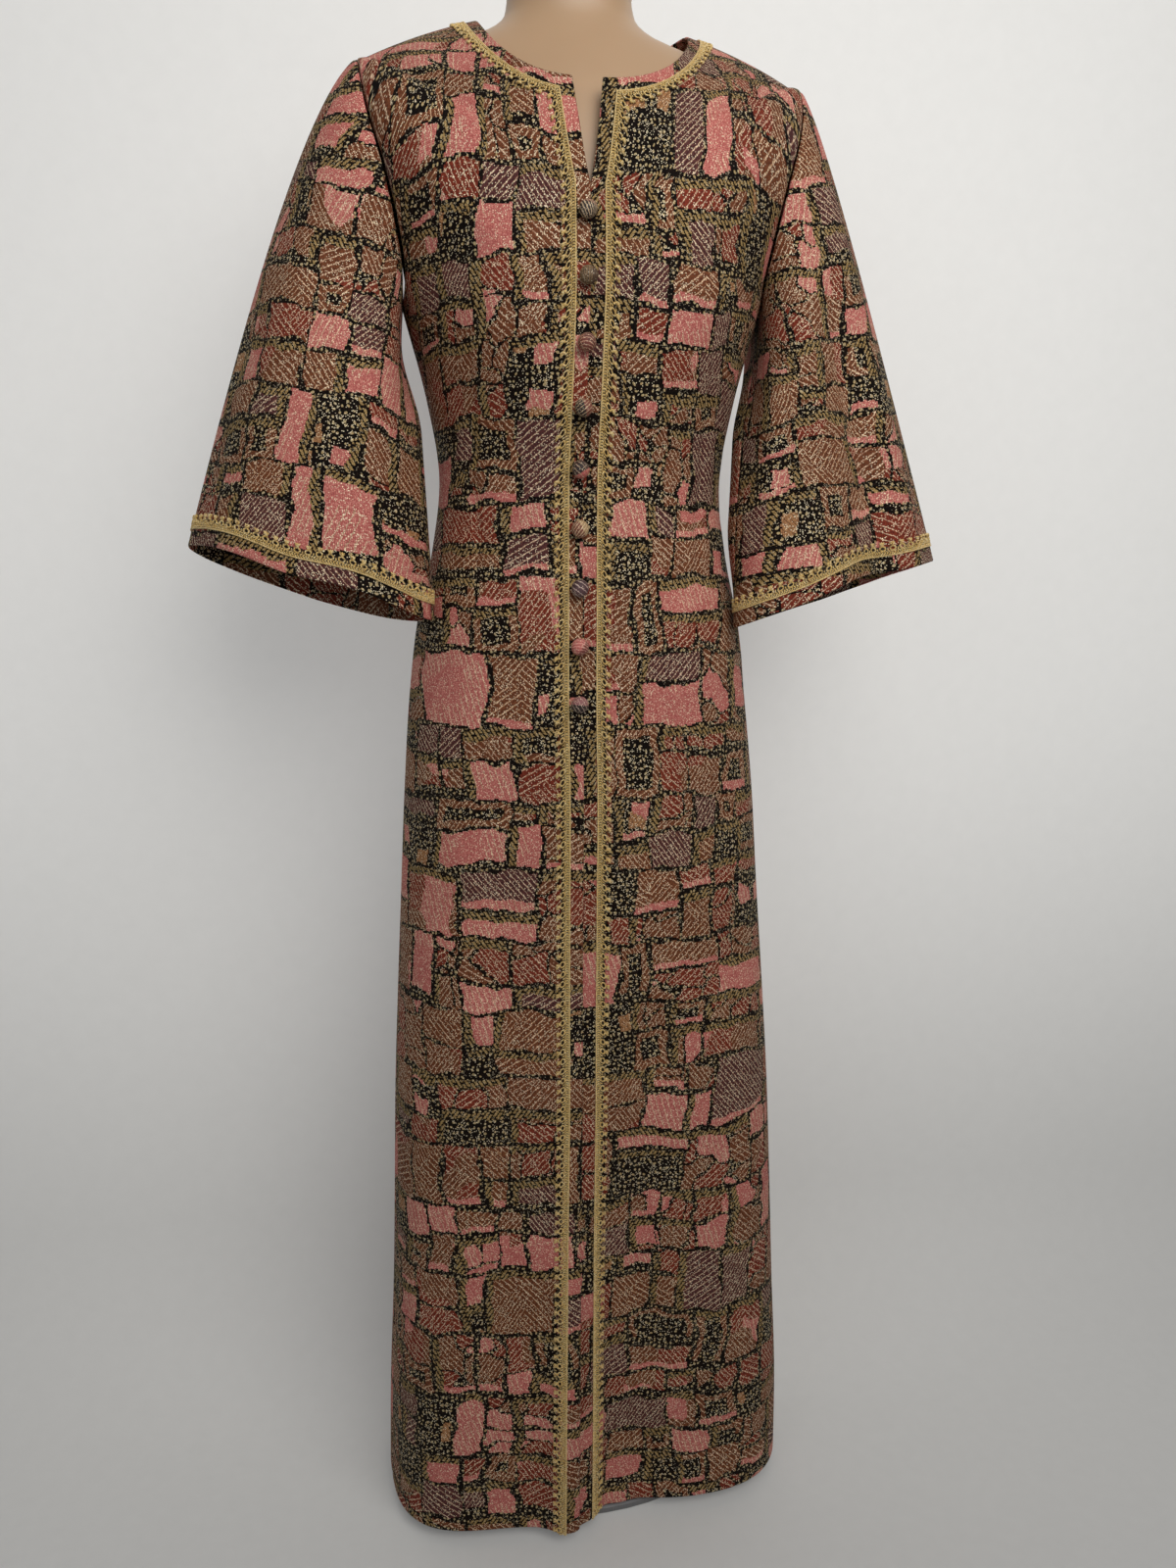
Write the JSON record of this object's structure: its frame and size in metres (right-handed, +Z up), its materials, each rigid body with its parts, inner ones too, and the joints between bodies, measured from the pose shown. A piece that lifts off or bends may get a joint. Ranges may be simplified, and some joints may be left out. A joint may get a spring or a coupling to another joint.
{
  "type": "kaftan on a dress form",
  "caption": "Full-length kaftan with a round notched neck, bell sleeves, ball buttons and crochet braid, standing on a limbless dress form with a pole and base plate.",
  "frame": {"origin": "centre of the base plate's underside, on the floor and on the pole's axis", "axes": "+Z up along the pole, -Y towards the dress's front, +X towards the wearer's left"},
  "size_m": [0.6997, 0.2651, 1.5],
  "materials": {
    "jacquard_knit": "metallic patchwork knit in pink, rust, brown, olive and black",
    "gold_braid": "gold crochet braid with a scalloped edge",
    "covered_buttons": "balls covered with the dress cloth",
    "form_plastic": "satin skin-tan",
    "stand_steel": "satin"
  },
  "bodies": {
    "root": {"front_right": "jacquard_knit", "front_left": "jacquard_knit", "back_right": "jacquard_knit", "back_left": "jacquard_knit", "sleeve_right": "jacquard_knit", "sleeve_left": "jacquard_knit", "braid_front_right": "gold_braid", "braid_front_left": "gold_braid", "braid_back_neck": "gold_braid", "braid_cuff_right": "gold_braid", "braid_cuff_left": "gold_braid", "button_1": "covered_buttons", "button_2": "covered_buttons", "button_3": "covered_buttons", "button_4": "covered_buttons", "button_5": "covered_buttons", "button_6": "covered_buttons", "button_7": "covered_buttons", "button_8": "covered_buttons", "button_9": "covered_buttons", "form_torso": "form_plastic", "stand_pole": "stand_steel", "stand_base": "stand_steel"}
  },
  "joints": []
}
